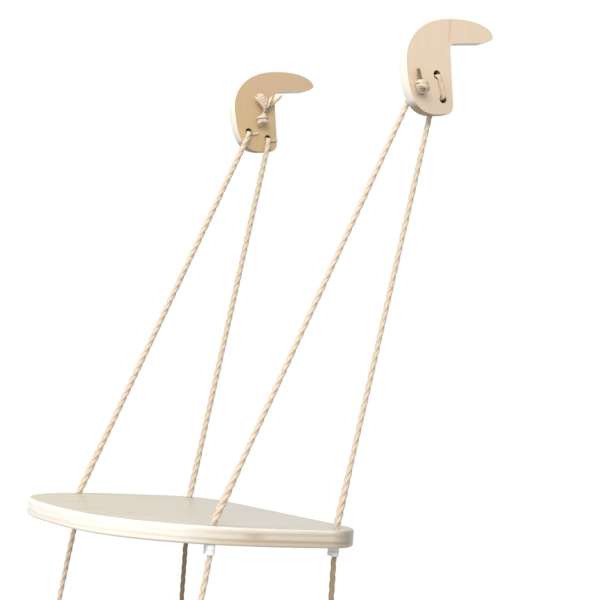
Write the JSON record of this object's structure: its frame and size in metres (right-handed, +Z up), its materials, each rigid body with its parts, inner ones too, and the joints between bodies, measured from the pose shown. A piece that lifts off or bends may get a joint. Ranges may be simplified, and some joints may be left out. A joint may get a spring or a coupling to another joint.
{
  "type": "hanging rope shelf",
  "caption": "Rounded-front shelf board hung on knotted ropes from curved plywood hooks that sit over a rail, with cable ties under the board holding the ropes.",
  "frame": {"origin": "midway between the inner corners of the hooks, where they sit on the rail or edge that carries them", "axes": "+X along the rail from the far hook to the near hook, +Y towards the rail, which is the back of the shelf, +Z up"},
  "size_m": [0.4016, 0.3894, 0.7053],
  "materials": {
    "hook_wood": "pale plywood, sanded, no varnish",
    "board_wood": "pale veneered plywood under clear gloss varnish, with its plies showing at the edge",
    "rope": "three-strand natural-colour rope, slightly fuzzy",
    "tie_nylon": "natural white nylon"
  },
  "bodies": {
    "hooks": {"hook_far": "hook_wood", "hook_near": "hook_wood", "knot_front_far": "rope", "knot_front_near": "rope", "knot_back_far": "rope", "knot_back_near": "rope", "wrap_far": "rope", "wrap_near": "rope"},
    "front_turns": {"bend_front_far": "rope", "bend_front_near": "rope"},
    "back_turns": {"bend_back_far": "rope", "bend_back_near": "rope"},
    "front_far_rope": {"rope_front_far": "rope"},
    "front_near_rope": {"rope_front_near": "rope"},
    "back_far_rope": {"rope_back_far": "rope"},
    "back_near_rope": {"rope_back_near": "rope"},
    "front_feet": {"foot_front_far": "rope", "foot_front_near": "rope"},
    "shelf": {"shelf_board": "board_wood", "foot_back_far": "rope", "foot_back_near": "rope", "lower_front_far": "rope", "lower_front_near": "rope", "lower_back_far": "rope", "lower_back_near": "rope", "end_knot_front_far": "rope", "end_knot_front_near": "rope", "end_knot_back_far": "rope", "end_knot_back_near": "rope", "tie_upper_front_far": "tie_nylon", "tie_upper_front_near": "tie_nylon", "tie_upper_back_far": "tie_nylon", "tie_upper_back_near": "tie_nylon", "tie_lower_front_far": "tie_nylon", "tie_lower_front_near": "tie_nylon", "tie_lower_back_far": "tie_nylon", "tie_lower_back_near": "tie_nylon"}
  },
  "joints": [
    {"name": "swing", "type": "hinge", "parent": "hooks", "child": "front_turns", "pos_m": [0, -0.03261, -0.05792], "axis": [-1, 0, 0], "range_deg": [0, 15]},
    {"name": "back_swing", "type": "hinge", "parent": "hooks", "child": "back_turns", "pos_m": [0, -0.00337, -0.06143], "axis": [-1, 0, 0], "range_deg": [0, 15]},
    {"name": "sway", "type": "hinge", "parent": "front_turns", "child": "front_far_rope", "pos_m": [-0.1645, -0.04345, -0.084], "axis": [0, 1, 0], "range_deg": [-8, 8]},
    {"name": "front_near_sway", "type": "hinge", "parent": "front_turns", "child": "front_near_rope", "pos_m": [0.1645, -0.04345, -0.084], "axis": [0, 1, 0], "range_deg": [-8, 8]},
    {"name": "back_far_sway", "type": "hinge", "parent": "back_turns", "child": "back_far_rope", "pos_m": [-0.16456, -0.00704, -0.084], "axis": [0, 1, 0], "range_deg": [-8, 8]},
    {"name": "back_near_sway", "type": "hinge", "parent": "back_turns", "child": "back_near_rope", "pos_m": [0.16456, -0.00704, -0.084], "axis": [0, 1, 0], "range_deg": [-8, 8]},
    {"name": "feet_sway", "type": "hinge", "parent": "front_far_rope", "child": "front_feet", "pos_m": [-0.15615, -0.22348, -0.5171], "axis": [0, 1, 0], "range_deg": [-8.5, 8.5]},
    {"name": "board_tip", "type": "hinge", "parent": "front_feet", "child": "shelf", "pos_m": [0, -0.2266, -0.5264], "axis": [-1, 0, 0], "range_deg": [-3, 0]}
  ],
  "couplings": [
    {"joint": "back_swing", "follows": "swing", "ratio": 1},
    {"joint": "board_tip", "follows": "swing", "ratio": -0.2},
    {"joint": "front_near_sway", "follows": "sway", "ratio": 1},
    {"joint": "back_far_sway", "follows": "sway", "ratio": 1},
    {"joint": "back_near_sway", "follows": "sway", "ratio": 1},
    {"joint": "feet_sway", "follows": "sway", "ratio": -1.054}
  ]
}
